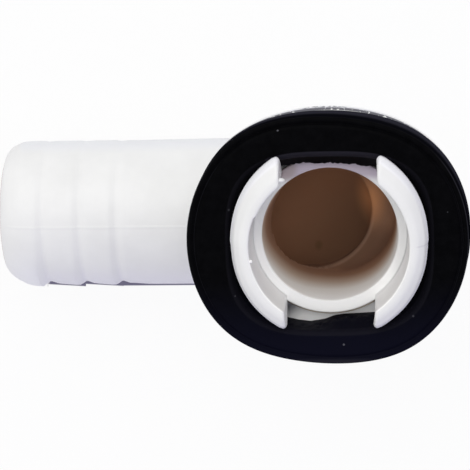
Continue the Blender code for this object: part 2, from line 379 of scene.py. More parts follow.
def arc(centre, radii, start, stop, steps):
    """Points of an elliptical arc from start to stop in degrees."""
    angles = np.radians(np.linspace(start, stop, steps + 1))
    return [
        (centre[0] + radii[0] * math.cos(a), centre[1] + radii[1] * math.sin(a)) for a in angles
    ]


def divided(points, step):
    """The same open line with its long runs divided into lengths of about step."""
    result = [points[0]]
    for first, second in zip(points, points[1:]):
        parts = max(1, round(math.dist(first, second) / step))
        for part in range(1, parts + 1):
            share = part / parts
            result.append(tuple(a + (b - a) * share for a, b in zip(first, second)))
    return result


def rounded_polygon(corner_list, step=0.35, arc_steps=5):
    """Closed line through corners (x, y, radius), each corner rounded by its radius."""
    points = []
    count = len(corner_list)
    for number, (x, y, radius) in enumerate(corner_list):
        here = np.array((x, y))
        before = np.array(corner_list[number - 1][:2]) - here
        after = np.array(corner_list[(number + 1) % count][:2]) - here
        before /= np.linalg.norm(before)
        after /= np.linalg.norm(after)
        if radius == 0:
            points.append(tuple(here))
            continue
        half = math.acos(float(np.clip(before @ after, -1, 1))) / 2
        middle = before + after
        centre = here + middle / np.linalg.norm(middle) * radius / math.sin(half)
        first = here + before * radius / math.tan(half) - centre
        last = here + after * radius / math.tan(half) - centre
        for share in np.linspace(0, 1, arc_steps + 1):
            spoke = first * (1 - share) + last * share
            points.append(tuple(centre + spoke / np.linalg.norm(spoke) * radius))
    return divided(points + points[:1], step)[:-1]


def seam_angles(angles):
    """The same angles with fine steps across the two parting lines."""
    width = SEAM_HALF_WIDTH / TAIL_RADIUS
    for middle in (0, math.pi, 2 * math.pi):
        angles = [a for a in angles if abs(a - middle) > SEAM_CLEARED * width]
    for middle in (0, math.pi):
        angles += [middle + width * share for share in SEAM_STEPS]
    return sorted(a % (2 * math.pi) for a in angles)


def revolved(name, profile, along_tail=False, seam=False):
    """Turned solid from a (radius, height) profile that starts and ends on its axis."""
    angles = list(np.linspace(0, 2 * math.pi, COLUMNS, endpoint=False))
    angles = np.array(seam_angles(angles) if seam else angles)
    profile = np.array(profile)
    radius = np.repeat(profile[:, :1], len(angles), 1)
    if seam:
        offset = np.abs((angles + math.pi / 2) % math.pi - math.pi / 2) * TAIL_RADIUS
        ridge = SEAM_HEIGHT * np.clip(SEAM_REACH - offset / SEAM_HALF_WIDTH, 0, 1)
        radius = radius + ridge * (radius > SEAM_FROM_RADIUS)
    height = np.repeat(profile[:, 1:], len(angles), 1)
    x, y = radius * np.cos(angles), radius * np.sin(angles)
    if along_tail:
        points = np.stack([-height, y, x + TAIL_AXIS_Z], -1)
    else:
        points = np.stack([x, y, height], -1)
    return grid_object(name, points)


def flattened(half_sizes, flatness, columns):
    """Outline of a circle flattened at the front and back, as an array of (x, y)."""
    angles = np.linspace(0, 2 * math.pi, columns, endpoint=False)
    share = np.abs(np.sin(angles)) ** flatness
    inverse = (1 - share) * half_sizes[0] ** -flatness + share * half_sizes[1] ** -flatness
    radius = inverse ** (-1 / flatness)
    return np.stack([radius * np.cos(angles), radius * np.sin(angles)], -1)


def combine(piece, other, operation):
    """Join or cut a piece by another one, which is used up."""
    modifier = piece.modifiers.new("cut", "BOOLEAN")
    modifier.operation = operation
    modifier.solver = "EXACT"
    modifier.object = other
    graph = bpy.context.evaluated_depsgraph_get()
    result = bpy.data.meshes.new_from_object(piece.evaluated_get(graph))
    piece.modifiers.clear()
    piece.data = result
    bpy.data.objects.remove(other)
    clean(piece)


def points_of(piece):
    """The points of a piece, in millimetres."""
    return np.array([v.co[:] for v in piece.data.vertices]) / MM


def move_points(piece, points):
    """Give a piece new points, in millimetres."""
    piece.data.vertices.foreach_set("co", (points * MM).ravel())
    piece.data.update()


def soften(piece, first, second, width):
    """Round the crease where two shapes meet, given the distance to each of them."""

    def blended(p):
        one, two = first(p), second(p)
        near = np.clip(width - np.abs(one - two), 0, None) / width
        return np.minimum(one, two) - near * near * width / 4

    points = points_of(piece)
    one, two = first(points), second(points)
    on_surface = np.minimum(np.abs(one), np.abs(two)) < SOFTEN_REACH
    near = (np.abs(one - two) < width) & on_surface
    moving = points[near]
    step = SOFTEN_STEP
    for _ in range(SOFTEN_ROUNDS):
        slope = np.stack(
            [(blended(moving + d) - blended(moving - d)) / (2 * step) for d in np.eye(3) * step], -1
        )
        size = np.maximum((slope * slope).sum(-1, keepdims=True), SOFTEN_LEAST_SLOPE)
        moving = moving - slope / size * blended(moving)[:, None]
    points[near] = moving
    points[:, 2] = np.maximum(points[:, 2], 0)
    move_points(piece, points)


def rounded_distance(across, down, edge):
    """Distance to a solid with a rounded edge, from how far a point is past its two faces."""
    outside = np.hypot(np.clip(across, 0, None), np.clip(down, 0, None))
    return outside + np.minimum(np.maximum(across, down), 0) - edge


def cup_distance(p):
    """Distance to the outside of the cup, with its rounded lower edge."""
    across = np.hypot(p[:, 0], p[:, 1]) - (CUP_RADIUS - BASE_EDGE)
    return rounded_distance(across, BASE_EDGE - p[:, 2], BASE_EDGE)


def tail_distance(p):
    """Distance to the outside of the plain part of the tail, far off where it has ended."""
    return np.hypot(p[:, 1], p[:, 2] - TAIL_AXIS_Z) - TAIL_RADIUS + FAR_OFF * (p[:, 0] > 0)


def inlet_distance(p):
    """Distance to the inlet's core, its wall and its rounded floor."""
    rise = (p[:, 2] - INLET_FLOOR_Z) / (RIM_TOP_Z - INLET_FLOOR_Z)
    radius = INLET_FLOOR_RADIUS + (INLET_RADIUS - INLET_FLOOR_RADIUS) * rise
    x = p[:, 0] - INLET_LEAN * np.clip(1 - rise, 0, 1)
    across = np.hypot(x, p[:, 1]) - radius + INLET_FLOOR_ROUND
    return rounded_distance(across, INLET_FLOOR_Z + INLET_FLOOR_ROUND - p[:, 2], INLET_FLOOR_ROUND)


def bore_distance(p):
    """Distance to the tail's core with its round end."""
    beyond = np.clip(p[:, 0] - (BORE_END_X - TAIL_BORE_RADIUS), 0, None)
    across = np.hypot(p[:, 1], p[:, 2] - TAIL_AXIS_Z)
    return np.hypot(beyond, across) - TAIL_BORE_RADIUS


def cup():
    """Cup, shank and the inlet's rim."""
    fillet = CUP_FILLET
    profile = [(0, 0)]
    profile += arc((CUP_RADIUS - BASE_EDGE, BASE_EDGE), (BASE_EDGE, BASE_EDGE), -90, 0, 6)
    profile += arc((CUP_RADIUS + fillet, FLANGE_BOTTOM_Z - fillet), (fillet, fillet), 180, 95, 7)
    profile.append((CUP_RADIUS + fillet + OVERLAP, FLANGE_BOTTOM_Z + OVERLAP))
    profile.append((RIM_RADIUS, FLANGE_TOP_Z - OVERLAP))
    profile += arc((RIM_RADIUS - RIM_EDGE, RIM_TOP_Z - RIM_EDGE), (RIM_EDGE, RIM_EDGE), 0, 90, 4)
    profile.append((0, RIM_TOP_Z))
    return revolved("elbow_body_dressed", divided(profile, PROFILE_STEP))


def uneven_tail(p):
    """The turned tail's points, moved to the slightly uneven form of the real one."""
    across = np.hypot(p[:, 1], p[:, 2] - TAIL_AXIS_Z)
    back = np.clip(p[:, 1] / TAIL_RADIUS, 0, 1)
    front = np.clip(-p[:, 1] / TAIL_RADIUS, 0, 1)
    behind = TAIL_REACH - NOSE_LENGTH + p[:, 0]

    filled = back * (1 - GROOVE_BACK_DEPTH / GROOVE_DEPTH)
    radius = across + np.clip(BARB_RADIUS - across, 0, None) * filled

    part = behind % BARB_PITCH
    on_barbs = (behind > 0) & (behind < BARB_PITCH * BARB_COUNT)
    slope = np.clip(1 - part / SLOPE_LENGTH, 0, 1) * on_barbs
    before_step = np.abs(behind - BARB_PITCH) < BARB_PITCH + SLOPE_RISE_LENGTH
    rise = np.clip((part - BARB_PITCH) / SLOPE_RISE_LENGTH + 1, 0, 1) * before_step
    swell = NOSE_FRONT_SWELL * (behind < -SLOPE_RISE_LENGTH)
    radius -= front ** 2 * (SLOPE_DEPTH * np.maximum(slope, rise) - swell)
    radius -= back ** 2 * np.interp(-p[:, 0], *zip(*TAIL_BACK_TAPER))

    at_skin = across > SKIN_RADIUS
    scale = np.where(at_skin, radius / np.maximum(across, 1e-6), 1)
    p[:, 0] -= back * (behind < -NOSE_BACK_FROM) * np.interp(across, *zip(*NOSE_BACK_SHIFT))
    p[:, 1] *= scale
    p[:, 2] = TAIL_AXIS_Z + (p[:, 2] - TAIL_AXIS_Z) * scale
    return p


def tail():
    """Hose tail with its rounded nose and its barbs, which are deeper at the front."""
    profile = arc((0, 0), (TAIL_RADIUS, TAIL_RADIUS), -90, 0, 24)
    profile[0] = (0, -TAIL_RADIUS)
    for number in reversed(range(BARB_COUNT)):
        step = TAIL_REACH - NOSE_LENGTH - number * BARB_PITCH
        before = BETWEEN_BARBS_RADIUS if number < BARB_COUNT - 1 else TAIL_RADIUS
        profile.append((before, step + GROOVE_START))
        for share, past in GROOVE_SHAPE:
            profile.append((BARB_RADIUS - GROOVE_DEPTH * share, step + past))
    depth, length = NOSE_ROUND
    profile += arc((BARB_RADIUS - depth, TAIL_REACH - length), (depth, length), 0, 90, 14)
    profile.append((0, TAIL_REACH))
    piece = revolved("tail", divided(profile, PROFILE_STEP), along_tail=True, seam=True)
    move_points(piece, uneven_tail(points_of(piece)))
    return piece


def flange():
    """Flange plate, a little larger than the seal."""
    low, high, edge = FLANGE_BOTTOM_Z, FLANGE_TOP_Z, FLANGE_EDGE
    section = arc((-edge, low + edge), (edge, edge), -90, 0, 4)
    section += arc((-edge, high - edge), (edge, edge), 0, 90, 4)
    rows = []
    for offset, height in section:
        outline = flattened([half + offset for half in FLANGE_HALF], FLANGE_FLATNESS, COLUMNS)
        rows.append(np.column_stack([outline + FLANGE_CENTRE, np.full(COLUMNS, height)]))
    return grid_object("flange", rows, caps=True)


def inset_line(points, distance):
    """A closed line moved inwards by a distance."""
    line = np.array(points)
    along = np.roll(line, -1, 0) - np.roll(line, 1, 0)
    along /= np.linalg.norm(along, axis=1, keepdims=True)
    inward = np.stack([-along[:, 1], along[:, 0]], -1)
    return line + inward * distance


def arm_column(line, angle, side):
    """The arm's section at an angle, or at one angle for each point, as (x, y, z) points."""
    section = line[:, 0]
    degrees = np.degrees(angle)
    gap = np.where(angle > 0, BACK_SLOT_HALF, FRONT_SLOT_HALF)
    to_end = np.clip((section * np.cos(angle) - gap) / ARM_TIP_LENGTH, 0, 1)
    tip = ARM_TIP_DEPTH * (1 - np.sqrt(1 - (1 - to_end) ** 2))
    catch = np.clip((section - NECK_RADIUS) / CATCH_REACH, 0, 1)
    radius = section + catch * (np.interp(degrees, *zip(*CATCH_OFFSETS)) - tip)
    if side < 0:
        inner = np.clip((LEFT_EDGE_RADIUS - section) / LEFT_EDGE_REACH, 0, 1)
        radius = radius + inner * np.interp(degrees, *zip(*LEFT_EDGE_STEP))
    return np.stack([side * radius * np.cos(angle), radius * np.sin(angle), line[:, 1]], -1)


def hook_arm(side):
    """One hook arm, on the +X or the -X side, with its ends cut straight and rounded."""
    section = rounded_polygon(HOOK_CORNERS)
    ends = [math.radians(a) for a in np.linspace(0, 90, 6)]
    rounding = [
        (ARM_END_ROUND * (1 - math.cos(a)), ARM_END_ROUND * (1 - math.sin(a))) for a in ends
    ]

    def end_angle(line, gap):
        return np.arccos(gap / line[:, 0])

    columns = []
    for inset_x, inset in rounding:
        line = inset_line(section, inset)
        columns.append(arm_column(line, -end_angle(line, FRONT_SLOT_HALF + inset_x), side))
    line = np.array(section)
    low = -end_angle(line, FRONT_SLOT_HALF + ARM_END_ROUND)
    high = end_angle(line, BACK_SLOT_HALF + ARM_END_ROUND)
    for share in np.linspace(0, 1, ARM_COLUMNS)[1:-1]:
        columns.append(arm_column(line, low + (high - low) * share, side))
    for inset_x, inset in reversed(rounding):
        line = inset_line(section, inset)
        columns.append(arm_column(line, end_angle(line, BACK_SLOT_HALF + inset_x), side))
    return grid_object("arm", columns, caps=True)


def burr(at, half_sizes):
    """A small rounded lump."""
    builder = bmesh.new()
    bmesh.ops.create_icosphere(builder, subdivisions=2, radius=MM)
    bmesh.ops.scale(builder, vec=half_sizes, verts=builder.verts)
    bmesh.ops.translate(builder, vec=[place * MM for place in at], verts=builder.verts)
    mesh = bpy.data.meshes.new("burr")
    builder.to_mesh(mesh)
    builder.free()
    return shown("burr", mesh)


def inlet_core():
    """Core of the inlet, tapered and leaning, from its rounded floor up past the hooks."""
    curve = INLET_FLOOR_ROUND
    top = HOOK_TOP_Z + CUT_PAST
    profile = [(0, INLET_FLOOR_Z)]
    profile += arc((INLET_FLOOR_RADIUS - curve, INLET_FLOOR_Z + curve), (curve, curve), -90, 0, 9)
    profile += [(INLET_RADIUS + out, RIM_TOP_Z + past) for out, past in INLET_LIP]
    profile += [(INLET_CUT_RADIUS, top), (0, top)]
    core = revolved("core", divided(profile, INLET_STEP))
    points = points_of(core)
    drop = (RIM_TOP_Z - points[:, 2]) / (RIM_TOP_Z - INLET_FLOOR_Z)
    points[:, 0] += INLET_LEAN * np.clip(drop, 0, 1)
    move_points(core, points)
    return core


def tail_core():
    """Core of the hose tail, with the round end that makes the trough in the cup."""
    start = TAIL_BORE_RADIUS - BORE_END_X
    profile = arc((0, start), (TAIL_BORE_RADIUS, TAIL_BORE_RADIUS), -90, 0, 28)
    profile[0] = (0, -BORE_END_X)
    profile += [(MOUTH_RADIUS + out, TAIL_REACH + past) for out, past in OUTLET_LIP]
    profile.append((0, TAIL_REACH + CUT_PAST))
    return revolved("bore", divided(profile, BORE_STEP), along_tail=True)


def water_way():
    """The inlet's core joined to the tail's core, with a softened edge between them."""
    core = inlet_core()
    combine(core, tail_core(), "UNION")
    soften(core, inlet_distance, bore_distance, TROUGH_ROUND)
    return core


def elbow():
    """The whole white moulding."""
    body = cup()
    combine(body, tail(), "UNION")
    soften(body, cup_distance, tail_distance, JOINT_ROUND)
    clean(body, JOINT_MERGE_DISTANCE)
    combine(body, flange(), "UNION")
    combine(body, hook_arm(1), "UNION")
    combine(body, hook_arm(-1), "UNION")
    combine(body, water_way(), "DIFFERENCE")
    for at, half_sizes in BURRS:
        combine(body, burr(at, half_sizes), "UNION")
    return body


def turned(outline, centre, degrees):
    """The same outline turned about the axis and moved to a centre."""
    c, s = math.cos(math.radians(degrees)), math.sin(math.radians(degrees))
    return outline @ np.array([[c, s], [-s, c]]) + centre


def square_round(half_sizes, power):
    """Outline between an ellipse and a rectangle, as an array of (x, y)."""
    angles = np.linspace(0, 2 * math.pi, SEAL_COLUMNS, endpoint=False)
    share = [np.abs(f(angles) / h) ** power for f, h in zip((np.cos, np.sin), half_sizes)]
    radius = (share[0] + share[1]) ** (-1 / power)
    return np.stack([radius * np.cos(angles), radius * np.sin(angles)], -1)


def torn_edge(with_back):
    """Outline of the seal's hole, with its torn front edge and, if asked, its back lip."""
    x, y = flattened(SEAL_HOLE, SEAL_HOLE_FLATNESS, SEAL_COLUMNS).T
    back = np.interp(x, *zip(*BACK_LIP)) if with_back else y
    front = np.interp(x, *zip(*FRONT_LIP))
    share = np.clip((LIP_HALF - np.abs(x)) / LIP_FADE, 0, 1)
    target = np.where(y > 0, back, front)
    return np.stack([x, y + (target - y) * share], -1)


def waver(angles, seed, scale):
    """Smooth noise round the ring, the same on each run."""
    return np.array(
        [noise.noise((math.cos(a) * scale, math.sin(a) * scale, seed)) for a in angles]
    )


def seal():
    """Rubber ring: outer wall, bead, groove, flat top, rounded mouth and a ragged lip."""
    angles = np.linspace(0, 2 * math.pi, SEAL_COLUMNS, endpoint=False)
    lip = torn_edge(with_back=True)
    foot = torn_edge(with_back=False)
    ragged = sum(share * waver(angles, seed, scale) for share, seed, scale in LIP_NOISE)
    rows = []

    def level(outline, height):
        rows.append(np.column_stack([outline, np.broadcast_to(height, SEAL_COLUMNS)]))

    def outer(inset, height):
        share = (height - SEAL_BOTTOM_Z) / (SEAL_TOP_Z - SEAL_BOTTOM_Z)
        low, high = [
            turned(flattened([size - inset for size in half], flatness, SEAL_COLUMNS), centre, turn)
            for half, flatness, centre, turn in (SEAL_FOOT, SEAL_CROWN)
        ]
        level(low + (high - low) * share, height)

    def mouth(inset, height):
        half = [size - inset for size in SEAL_MOUTH]
        level(square_round(half, SEAL_MOUTH_POWER) + SEAL_MOUTH_CENTRE, height)

    def worn(outline, depth):
        return outline * (1 + depth * ragged[:, None] / LIP_RADIUS)

    edge, bead = SEAL_EDGE, SEAL_BEAD_ROUND
    level(foot, SEAL_BOTTOM_Z)
    for inset, height in arc((edge, SEAL_BOTTOM_Z + edge), (edge, edge), 270, 180, 4):
        outer(inset, height)
    wall = SEAL_TOP_Z - SEAL_BOTTOM_Z - SEAL_WALL_MARGIN
    for share in np.linspace(0.1, 0.9, SEAL_WALL_ROWS):
        outer(0.0, SEAL_BOTTOM_Z + edge + share * wall)
    for inset, height in arc((bead, SEAL_TOP_Z - bead), (bead, bead), 180, 60, 7):
        outer(inset, height)
    for inset, drop in SEAL_GROOVE:
        outer(inset, SEAL_TOP_Z - drop)
    for inset in SEAL_TOP_INSETS:
        outer(inset, SEAL_TOP_Z)
    for inset in SEAL_MOUTH_BRIM:
        mouth(inset, SEAL_TOP_Z)
    mouth_centre = (SEAL_MOUTH_SHIFT, SEAL_TOP_Z - SEAL_MOUTH_ROUND[1])
    for inset, height in arc(mouth_centre, SEAL_MOUTH_ROUND, 90, 20, 7):
        mouth(inset, height)
    throat = rows[-1][:, :2]
    for share, drop in SEAL_THROAT:
        level(worn(throat + (lip - throat) * share, THROAT_WEAR * share), SEAL_TOP_Z - drop)
    for depth, rise in LIP_EDGES:
        level(worn(lip, depth), SEAL_LIP_TOP_Z + rise + LIP_WAVE * ragged)
    level((lip + foot) / 2, SEAL_LIP_TOP_Z - LIP_UNDERSIDE[0])
    level(foot, SEAL_LIP_TOP_Z - LIP_UNDERSIDE[1])
    return grid_object("rubber_seal_dressed", rows, ring=True)


class Graph:
    """Small helper that adds shader nodes to a material or a world and links them."""

    def __init__(self, owner, shader="Principled BSDF"):
        owner.use_nodes = True
        self.tree = owner.node_tree
        self.shader = self.tree.nodes[shader]

    def add(self, kind, inputs=(), **settings):
        """A new node with its settings made and its inputs fed."""
        made = self.tree.nodes.new(kind)
        for key, value in settings.items():
            setattr(made, key, value)
        for key, value in dict(inputs).items():
            self.feed(made.inputs[key], value)
        return made

    def feed(self, socket, value):
        """Link a socket to another one, or give it a value."""
        if isinstance(value, bpy.types.NodeSocket):
            self.tree.links.new(value, socket)
        else:
            socket.default_value = value

    def maths(self, operation, *values, clamp=False):
        made = self.add("ShaderNodeMath", operation=operation, use_clamp=clamp)
        for socket, value in zip(made.inputs, values):
            self.feed(socket, value)
        return made.outputs[0]

    def product(self, first, *others):
        for other in others:
            first = self.maths("MULTIPLY", first, other)
        return first

    def either(self, first, second):
        """The greater of two shares."""
        return self.maths("MAXIMUM", first, second)

    def minus(self, value, distance):
        """A length less a number of millimetres."""
        return self.maths("SUBTRACT", value, distance * MM)

    def above(self, value, limit):
        """1 where a length is more than a number of millimetres, and 0 elsewhere."""
        return self.maths("GREATER_THAN", value, limit * MM)

    def below(self, value, limit):
        return self.maths("LESS_THAN", value, limit * MM)

    def between(self, value, low, high):
        return self.product(self.above(value, low), self.below(value, high))

    def span(self, value, low, high, unit=MM):
        """Share that rises smoothly from 0 at low to 1 at high, which are millimetres."""
        made = self.add("ShaderNodeMapRange", {"Value": value}, interpolation_type="SMOOTHSTEP")
        backwards = low > high
        made.inputs["From Min"].default_value = min(low, high) * unit
        made.inputs["From Max"].default_value = max(low, high) * unit
        made.inputs["To Min"].default_value = 1.0 if backwards else 0.0
        made.inputs["To Max"].default_value = 0.0 if backwards else 1.0
        return made.outputs["Result"]

    def share(self, value, low, high):
        """Share that rises smoothly from 0 at low to 1 at high, for a value with no unit."""
        return self.span(value, low, high, unit=1.0)

    def radius(self, one, two):
        """Distance from two lengths at right angles."""
        squares = [self.maths("MULTIPLY", value, value) for value in (one, two)]
        return self.maths("SQRT", self.maths("ADD", *squares))

    def distance(self, x, y, centre):
        """Distance across from a centre, whose X and Y are millimetres."""
        return self.radius(self.minus(x, centre[0]), self.minus(y, centre[1]))

    def oval(self, x, y, half_sizes, power):
        """Measure that is 1 on an outline between an ellipse and a rectangle, less inside."""
        shares = []
        for value, half in zip((x, y), half_sizes):
            share = self.maths("DIVIDE", self.maths("ABSOLUTE", value), half * MM)
            shares.append(self.maths("POWER", share, power))
        return self.maths("ADD", *shares)

    def split(self, vector):
        """The three components of a vector."""
        return self.add("ShaderNodeSeparateXYZ", {"Vector": vector}).outputs

    def place(self):
        """The point's place in the object, in metres."""
        return self.add("ShaderNodeTexCoord").outputs["Object"]

    def normal(self):
        """The three components of the surface's normal."""
        return self.split(self.add("ShaderNodeNewGeometry").outputs["Normal"])

    def tint(self, share, under, colour):
        """A colour laid over another by a share."""
        made = self.add("ShaderNodeMix", data_type="RGBA")
        self.feed(made.inputs[0], share)
        self.feed(made.inputs[6], under)
        self.feed(made.inputs[7], (*colour, 1) if isinstance(colour, tuple) else colour)
        return made.outputs[2]

    def ramp(self, value, stops):
        """A colour that goes through stops, which are positions with colours."""
        made = self.add("ShaderNodeValToRGB", {"Fac": value})
        elements = made.color_ramp.elements
        while len(elements) < len(stops):
            elements.new(0.5)
        for element, (position, colour) in zip(elements, stops):
            element.position = position
            element.color = (*colour, 1)
        return made.outputs["Color"]

    def noise(self, place, scale, detail, roughness):
        made = self.add(
            "ShaderNodeTexNoise",
            {"Vector": place, "Scale": scale, "Detail": detail, "Roughness": roughness},
        )
        return made.outputs["Fac"]

    def bump(self, height, strength, distance):
        """Give the surface a fine relief."""
        made = self.add(
            "ShaderNodeBump", {"Height": height, "Strength": strength, "Distance": distance * MM}
        )
        self.feed(self.shader.inputs["Normal"], made.outputs["Normal"])

    def mixed(self, share, first, second):
        """Two shaders mixed by a share."""
        return self.add("ShaderNodeMixShader", {0: share, 1: first, 2: second}).outputs[0]


def shaded_bore_colour(g, x, y, z, pipe):
    """Colour of the water way: painted shade, white at the rim and brown further down."""
    depth = g.maths("DIVIDE", g.maths("SUBTRACT", RIM_TOP_Z * MM, z), BORE_SHADE_DEPTH * MM, clamp=True)
    # Painted shade that comes higher up the side walls, most on the left
    right = g.product(g.span(x, 0.0, 9.0), 0.09)
    left = g.product(g.span(x, 0.0, -8.5), g.maths("MULTIPLY_ADD", g.span(y, -6.0, 2.0), 0.2, 0.15))
    shaded_bore = g.ramp(g.maths("ADD", depth, g.maths("ADD", right, left)), BORE_SHADE_RAMP)

    # Floor of the trough, painted shade that is darker towards the front right
    far = g.span(g.maths("SUBTRACT", x, y), -7.0, 8.0)
    near_brown = (*TROUGH_LIT_BROWN, 1)
    shaded_bore = g.tint(g.span(z, 10.5, 8.5), shaded_bore, g.tint(far, near_brown, TROUGH_SHADE_BROWN))

    # Ledge above it, with painted shade on it and in its corner and a painted highlight along its
    # edge
    lower = g.span(g.maths("SUBTRACT", g.product(x, 0.3), y), 3.0, 7.0)
    shaded_bore = g.tint(g.product(lower, g.above(z, 9.5), g.span(z, 13.5, 11.5), 0.5), shaded_bore, LEDGE_SHADE_BROWN)
    corner = g.product(g.span(x, 0.3, 2.2), g.span(y, -1.0, -4.0), g.span(z, 14.0, 12.0))
    shaded_bore = g.tint(g.product(corner, g.above(z, 9.3), 0.5), shaded_bore, CORNER_SHADE_BROWN)
    end = g.either(g.minus(x, BORE_END_X - TAIL_BORE_RADIUS), 0.0)
    off_axis = g.radius(end, pipe)
    line = g.product(g.span(off_axis, 8.35, 7.95), g.above(off_axis, 7.72), g.span(y, 3.0, -3.0))
    shaded_bore = g.tint(g.product(line, 0.4), shaded_bore, EDGE_HIGHLIGHT_BROWN)

    # Dark spot on the floor, and light that glows through the wall at the right
    spot = g.span(g.distance(x, y, SPOT_AT), *SPOT_FADE)
    shaded_bore = g.tint(g.product(spot, g.below(z, 9.0), 0.5), shaded_bore, SPOT_BROWN)
    across = g.maths("DIVIDE", g.minus(x, GLOW_AT[0]), GLOW_HALF[0] * MM)
    along = g.maths("DIVIDE", g.minus(y, GLOW_AT[1]), GLOW_HALF[1] * MM)
    glow = g.product(g.share(g.radius(across, along), 1.0, 0.0), 0.9)
    return g.tint(glow, shaded_bore, GLOW_ORANGE)


def white_colour(g, mottled, x, y, z, ring):
    """Colour of the outside: white with faint mottling, painted shade and painted light, and a
    parting line.
    """
    facing_back = g.normal()[1]
    white = g.ramp(mottled, WHITE_MOTTLES)
    # Painted shade by facing: faces turned to the back a little greyer and bluer, faces turned to
    # the front a little more violet
    white = g.tint(g.product(g.share(facing_back, 0.9, 1.0), 0.6), white, BACK_SHADE_WHITE)
    white = g.tint(g.product(g.share(facing_back, -0.5, -0.95), 0.6), white, FRONT_SHADE_WHITE)

    # Flange in the front slot painted lighter, as painted light, and the brown line at the rim's
    # foot, painted shade in the crease
    top = FLANGE_TOP_Z
    slot = g.product(g.below(y, -9.0), g.between(z, top - 0.3, top + 0.4), g.below(ring, 13.5))
    white = g.tint(slot, white, PAINTED_LIGHT_WHITE)
    foot = g.product(g.span(ring, 11.03, 10.95), g.above(ring, RIM_RADIUS), g.below(y, 0.0))
    foot = g.product(foot, g.between(z, top - 0.7, top + 0.7), 0.75)
    white = g.tint(foot, white, FOOT_SHADE_BROWN)

    # Rim with painted shade at the back, and painted light on the rim's front and the arms' inner
    # walls
    at_rim = g.product(g.below(z, RIM_TOP_Z + 0.3), g.below(ring, RIM_RADIUS + 0.1))
    over_rim = g.above(z, RIM_TOP_Z - 0.3)
    white = g.tint(g.product(g.span(y, 6.8, 8.0), at_rim, over_rim, 0.8), white, RIM_SHADE_VIOLET)
    inner_wall = g.product(
        g.below(ring, HOOK_BORE_RADIUS + 0.33),
        g.either(g.below(x, 0.0), g.above(z, RIM_TOP_Z + 0.5)),
    )
    lit_rim = g.either(g.product(at_rim, g.span(x, 9.4, 7.4)), inner_wall)
    white = g.tint(g.product(lit_rim, g.span(y, 3.0, -4.0), over_rim), white, PAINTED_LIGHT_WHITE)

    # Edges of the catches and the front side of the nose painted lighter, as painted light, and the
    # parting line over the arms
    catch = g.product(g.span(ring, 12.2, 12.6), g.above(z, CATCH_Z - 0.1), g.below(ring, 13.5))
    white = g.tint(g.product(catch, 0.8), white, CATCH_LIT_WHITE)
    nose = g.product(g.span(x, -38.0, -41.0), g.share(facing_back, -0.2, -0.97))
    white = g.tint(nose, white, NOSE_LIT_WHITE)
    off_line = g.maths("ABSOLUTE", g.minus(y, PARTING_Y))
    line = g.product(g.span(off_line, 0.16, 0.05), g.span(ring, 10.8, 11.4), g.above(z, 29.8))
    white = g.tint(g.product(line, g.span(x, -20.0, 20.0), 0.3), white, PARTING_GREY)

    # Painted shade behind the left arm, and painted shade broken up by noise on the back of the
    # flange's edge
    arm_shade = g.span(g.distance(x, y, ARM_SHADE_AT), *ARM_SHADE_FADE)
    arm_shade = g.product(arm_shade, g.between(z, top + 0.8, RIM_TOP_Z + 0.3), 0.65)
    white = g.tint(arm_shade, white, ARM_SHADE_BROWN)
    spotty = g.noise(g.place(), *EDGE_SHADE_SPOTS)
    upper = g.product(g.span(z, 22.9, 23.3), g.share(spotty, 0.34, 0.44))
    middle = g.product(g.span(x, -4.5, -3.0), g.span(x, 3.2, 1.5), g.share(spotty, 0.5, 0.56))
    edge_shade = g.product(g.either(upper, middle), g.above(ring, 15.5), g.span(y, 5.0, 9.0))
    edge_shade = g.product(edge_shade, g.between(z, FLANGE_BOTTOM_Z - 0.1, top - 0.02), 0.9)
    return g.tint(edge_shade, white, EDGE_SHADE_BLACK)


def plastic():
    """White moulded plastic, with painted shade that turns it brown and darker down the water way.
    """
    material = bpy.data.materials.new("white_plastic_dressed")
    g = Graph(material)
    place = g.place()
    x, y, z = g.split(place)
    ring = g.radius(x, y)
    pipe = g.radius(y, g.minus(z, TAIL_AXIS_Z))
    in_inlet = g.product(g.below(ring, INSIDE_RING), g.between(z, *INSIDE_Z))
    in_tail = g.product(g.below(pipe, INSIDE_PIPE), g.below(x, INSIDE_END_X))
    inside = g.either(in_inlet, in_tail)

    mottled = g.noise(place, *MOTTLE)
    white = white_colour(g, mottled, x, y, z, ring)
    shaded_bore = shaded_bore_colour(g, x, y, z, pipe)
    g.feed(g.shader.inputs["Base Color"], g.tint(inside, white, shaded_bore))
    rough = g.maths("MULTIPLY_ADD", mottled, 0.12, 0.36)
    g.feed(g.shader.inputs["Roughness"], g.maths("MULTIPLY_ADD", inside, 0.35, rough))
    g.feed(g.shader.inputs["Specular IOR Level"], g.maths("MULTIPLY_ADD", inside, -0.35, 0.5))
    g.shader.inputs["IOR"].default_value = 1.5
    g.bump(g.noise(place, *PLASTIC_GRAIN), 0.25, 0.02)
    return material


